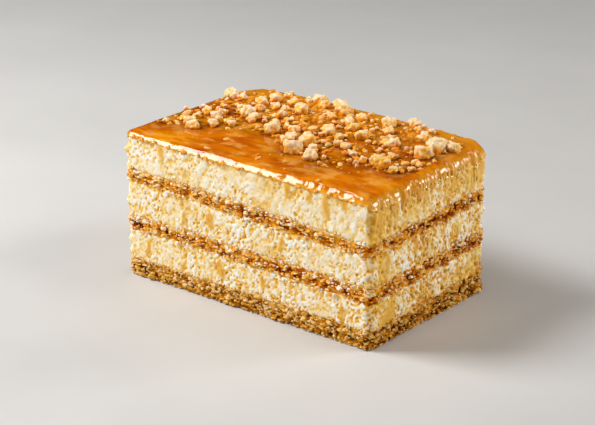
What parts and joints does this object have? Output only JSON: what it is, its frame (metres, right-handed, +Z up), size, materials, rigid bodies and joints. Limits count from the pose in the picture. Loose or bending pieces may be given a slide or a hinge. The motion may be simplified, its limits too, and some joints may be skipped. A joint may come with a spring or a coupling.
{
  "type": "whisky ice cream cake slice",
  "caption": "Block slice of layered ice cream cake: crumb wafers and pale ice cream in turn, under an amber syrup glaze scattered with chopped nuts.",
  "frame": {"origin": "middle of the foot, on the surface that the slice stands on", "axes": "+X along the long side, +Y from the front cut face to the back, +Z up"},
  "size_m": [0.093, 0.058, 0.0494],
  "materials": {
    "base_wafer": "matte",
    "wafer": "matte",
    "cream": "matte",
    "glaze": "gloss",
    "nuts": "matte",
    "syrup": "gloss"
  },
  "bodies": {
    "root": {"base_wafer": "base_wafer", "cream_lower": "cream", "wafer_lower": "wafer", "cream_middle": "cream", "wafer_upper": "wafer", "cream_upper": "cream", "glaze": "glaze"}
  },
  "joints": []
}
